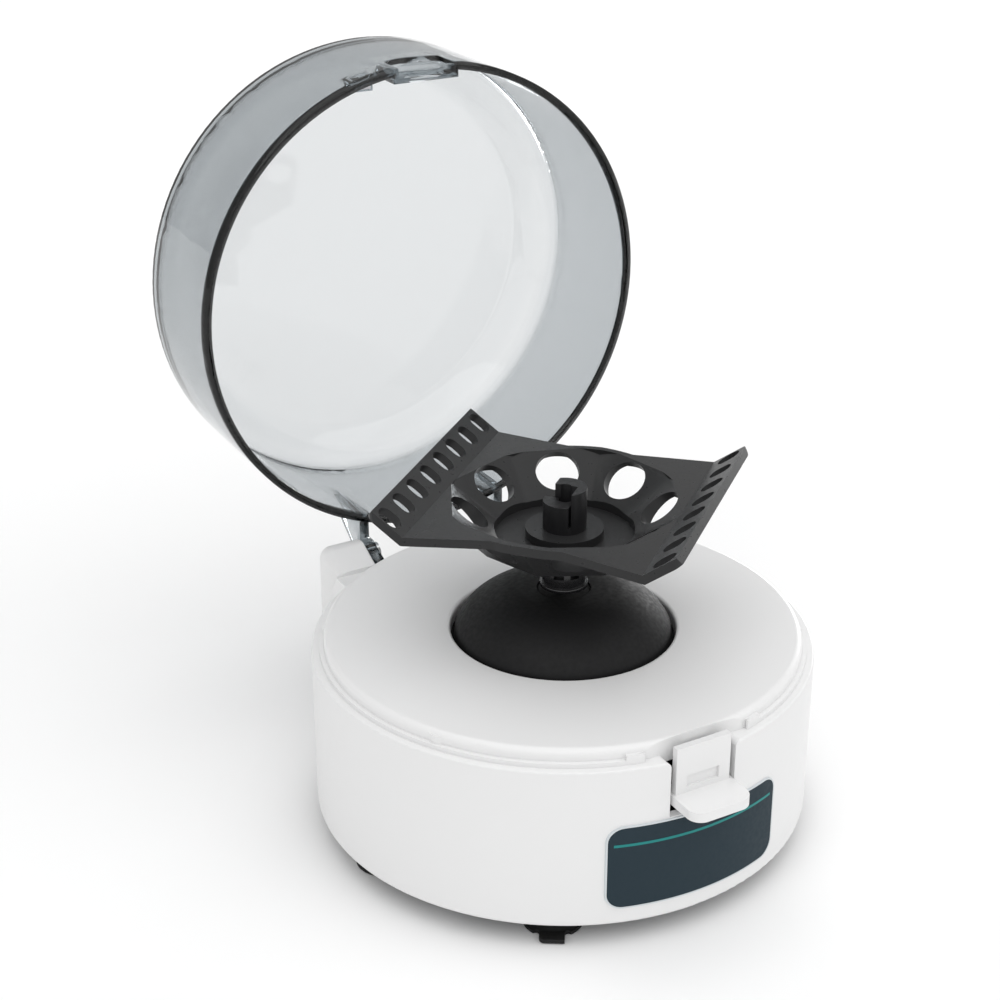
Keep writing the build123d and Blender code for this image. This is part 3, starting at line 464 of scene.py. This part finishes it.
def label_border():
    low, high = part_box("label_panel")
    face = -low.y
    half = high.x
    middle = (low.z + high.z) / 2
    tall = (high.z - low.z) / 2
    over = 0.06 * mm
    width = 0.32 * mm
    sunk = -0.45 * mm
    corner = 4.2 * mm
    longest = 1.5 * mm
    outer = rounded_outline(half + over, tall + over, middle, corner + over)
    inner = rounded_outline(half - width, tall - width, middle, corner - width)
    sections = []
    loops = zip(outer, outer[1:] + outer[:1], inner, inner[1:] + inner[:1])
    for (ox0, oz0), (ox1, oz1), (ix0, iz0), (ix1, iz1) in loops:
        parts = max(1, ceil(hypot(ox1 - ox0, oz1 - oz0) / longest))
        for k in range(parts):
            t = k / parts
            ox, oz = ox0 + (ox1 - ox0) * t, oz0 + (oz1 - oz0) * t
            ix, iz = ix0 + (ix1 - ix0) * t, iz0 + (iz1 - iz0) * t
            sections.append([
                on_wall(face, ox, oz, sunk),
                on_wall(face, ox, oz, ink_proud),
                on_wall(face, ix, iz, ink_proud),
                on_wall(face, ix, iz, sunk),
            ])
    finished("label_border", lofted("label_border", sections, ring=True), "housing", "label", border_ink)


def label_stripe():
    face = -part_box("label_panel")[0].y
    level = 28.9 * mm
    half_height = 0.36 * mm
    sunk = -0.2 * mm
    reach = radians(20.3)
    steps = 40
    outline = (
        (face + sunk, -half_height),
        (face + ink_proud, -half_height),
        (face + ink_proud, half_height),
        (face + sunk, half_height),
    )
    sections = []
    for k in range(steps + 1):
        a = -reach + 2 * reach * k / steps
        sections.append([(r * sin(a), -r * cos(a), level + z) for r, z in outline])
    finished("label_stripe", lofted("label_stripe", sections), "housing", "label", teal_ink)


# Screws, all grown from one tree: a flat head with a cross, and ridges for the thread
def screw_tree():
    head_sides = 40
    shank_sides = 24
    cross_long = 1.15
    cross_wide = 0.24
    core_share = 0.86
    root_share = 0.80
    ridge_share = 0.5
    first_ridge = -0.6
    tree = bpy.data.node_groups.new("crosshead_screw", "GeometryNodeTree")
    face = tree.interface
    face.new_socket("Geometry", in_out="OUTPUT", socket_type="NodeSocketGeometry")
    for label in ("Head radius", "Head height", "Shank radius", "Shank length", "Pitch"):
        face.new_socket(label, in_out="INPUT", socket_type="NodeSocketFloat")
    face.new_socket("Finish", in_out="INPUT", socket_type="NodeSocketMaterial")
    nodes, links = tree.nodes, tree.links
    given = nodes.new("NodeGroupInput").outputs
    done = nodes.new("NodeGroupOutput")

    def maths(operation, first, second):
        node = nodes.new("ShaderNodeMath")
        node.operation = operation
        for socket, value in zip(node.inputs, (first, second)):
            if isinstance(value, (int, float)):
                socket.default_value = value
            else:
                links.new(value, socket)
        return node.outputs[0]

    def times(length, share):
        return maths("MULTIPLY", given[length], share)

    def upward(height):
        node = nodes.new("ShaderNodeCombineXYZ")
        links.new(height, node.inputs["Z"])
        return node.outputs[0]

    def cylinder(radius, depth, sides):
        node = nodes.new("GeometryNodeMeshCylinder")
        node.inputs["Vertices"].default_value = sides
        links.new(radius, node.inputs["Radius"])
        links.new(depth, node.inputs["Depth"])
        return node.outputs["Mesh"]

    def lifted(mesh, height):
        node = nodes.new("GeometryNodeTransform")
        links.new(mesh, node.inputs["Geometry"])
        links.new(upward(height), node.inputs["Translation"])
        return node.outputs[0]

    def bar(across, along):
        size = nodes.new("ShaderNodeCombineXYZ")
        links.new(across, size.inputs["X"])
        links.new(along, size.inputs["Y"])
        links.new(given["Head height"], size.inputs["Z"])
        node = nodes.new("GeometryNodeMeshCube")
        links.new(size.outputs[0], node.inputs["Size"])
        return node.outputs["Mesh"]

    def joined(*meshes):
        node = nodes.new("GeometryNodeJoinGeometry")
        for mesh in meshes:
            links.new(mesh, node.inputs[0])
        return node.outputs[0]

    disc = cylinder(given["Head radius"], given["Head height"], head_sides)
    long_side = times("Head radius", cross_long)
    short_side = times("Head radius", cross_wide)
    cross = joined(bar(long_side, short_side), bar(short_side, long_side))
    cut = nodes.new("GeometryNodeMeshBoolean")
    cut.operation = "DIFFERENCE"
    cut.solver = "EXACT"
    cut.inputs["Self Intersection"].default_value = True
    links.new(lifted(disc, times("Head height", 0.5)), cut.inputs["Mesh 1"])
    links.new(lifted(cross, given["Head height"]), cut.inputs["Mesh 2"])

    rod = cylinder(times("Shank radius", core_share), given["Shank length"], shank_sides)
    core = lifted(rod, times("Shank length", -0.5))
    line = nodes.new("GeometryNodeMeshLine")
    turns = maths("FLOOR", maths("DIVIDE", given["Shank length"], given["Pitch"]), 0.0)
    links.new(turns, line.inputs["Count"])
    links.new(upward(times("Pitch", first_ridge)), line.inputs["Start Location"])
    links.new(upward(times("Pitch", -1.0)), line.inputs["Offset"])
    ridge = nodes.new("GeometryNodeMeshCone")
    ridge.inputs["Vertices"].default_value = shank_sides
    links.new(times("Shank radius", root_share), ridge.inputs["Radius Top"])
    links.new(given["Shank radius"], ridge.inputs["Radius Bottom"])
    links.new(times("Pitch", ridge_share), ridge.inputs["Depth"])
    thread = nodes.new("GeometryNodeInstanceOnPoints")
    links.new(line.outputs[0], thread.inputs["Points"])
    links.new(ridge.outputs["Mesh"], thread.inputs["Instance"])

    real = nodes.new("GeometryNodeRealizeInstances")
    links.new(joined(cut.outputs[0], core, thread.outputs[0]), real.inputs[0])
    finish = nodes.new("GeometryNodeSetMaterial")
    links.new(real.outputs[0], finish.inputs["Geometry"])
    links.new(given["Finish"], finish.inputs["Material"])
    links.new(finish.outputs[0], done.inputs[0])
    return tree


def grown(name, tree, values):
    """Plain mesh from a tree with the given inputs."""
    holder = bpy.data.objects.new(name + "_seed", bpy.data.meshes.new(name + "_seed"))
    modifier = holder.modifiers.new("grow", "NODES")
    modifier.node_group = tree
    for item in tree.interface.items_tree:
        if item.item_type == "SOCKET" and item.in_out == "INPUT" and item.name in values:
            modifier[item.identifier] = values[item.name]
    scene.collection.objects.link(holder)
    depsgraph = bpy.context.evaluated_depsgraph_get()
    mesh = bpy.data.meshes.new_from_object(holder.evaluated_get(depsgraph), depsgraph=depsgraph)
    bpy.data.objects.remove(holder)
    return mesh


def screws():
    tree = screw_tree()
    pitch = 0.6 * mm
    thread_play = 0.99
    # How many, head radius and height, shank radius and length in mm, and whether the head is on top
    kinds = {
        "case_screw": (4, 2.8, 1.7, 1.5, 12.0, False),
        "mount_screw": (3, 2.8, 1.7, 1.5, 16.0, True),
        "cover_screw": (3, 2.8, 1.7, 1.5, 4.2, False),
        "board_screw": (4, 2.0, 1.2, 1.0, 4.8, True),
    }
    for kind, (count, head_r, head_h, shank_r, length, head_up) in kinds.items():
        values = {
            "Head radius": head_r * mm,
            "Head height": head_h * mm,
            "Shank radius": shank_r * mm * thread_play,
            "Shank length": length * mm,
            "Pitch": pitch,
            "Finish": finishes["steel"],
        }
        for number in range(1, count + 1):
            node = f"{kind}_{number}"
            low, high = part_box(node)
            seat = (low + high) / 2
            if head_up:
                seat.z = high.z - head_h * mm
                place = Matrix.Translation(seat)
            else:
                seat.z = low.z + head_h * mm
                place = Matrix.Translation(seat) @ Matrix.Rotation(pi, 4, "X")
            mesh = grown(node + "_cross", tree, values)
            mesh.transform(place)
            finished(node + "_cross", mesh, "housing", "steel", stands_for=(node,))


# Leaf spring of the latch, clamped below and following the latch's heel above
def latch_leaf():
    low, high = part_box("latch_spring")
    rows = 24
    narrowing = 0.25
    sections = []
    for k in range(rows + 1):
        t = k / rows
        z = low.z + (high.z - low.z) * t
        half = (high.x - low.x) / 2 * (1.0 - narrowing * t ** 2)
        sections.append([(-half, low.y, z), (half, low.y, z), (half, high.y, z), (-half, high.y, z)])
    mesh = lofted("latch_leaf", sections)
    mesh.materials.append(finishes["spring_steel"])
    leaf = bpy.data.objects.new("latch_leaf", mesh)
    scene.collection.objects.link(leaf)
    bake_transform(leaf)
    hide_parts("latch_spring")


# Hinge posts: full rounding at the outer ends, light rounding elsewhere
post_from_y = 62 * mm
post_from_x = 20 * mm
post_from_z = 30 * mm
clear_of_wall = 68 * mm
shell_points = frame["nodes"]["base_shell"].data.vertices
post_reach = max(abs(v.co.x) for v in shell_points if v.co.y > clear_of_wall)


def post_share(at):
    if at.y < post_from_y or abs(at.x) < post_from_x or at.z < post_from_z:
        return 0.0
    return 1.0 if abs(at.x) > post_reach - 0.2 * mm else 0.25


edge_widths = {
    "latch": 0.5 * mm,
    "rotor": 0.22 * mm,
    "rotor_clip": 0.25 * mm,
    "shaft_seal": 0.15 * mm,
    "motor_mount": 0.3 * mm,
    "power_socket": 0.2 * mm,
    "switch_body": 0.25 * mm,
    "rocker": 0.3 * mm,
    "relay": 0.3 * mm,
}

motor_dome()
label_border()
label_stripe()
screws()
latch_leaf()
for piece, edge in edge_widths.items():
    softened(piece, edge)
softened("drive_hub", 0.15 * mm, material=hub_gloss)
softened("lid", 0, flat_joined=0)
softened("base_shell", 3.2 * mm, segments=6, share=post_share)
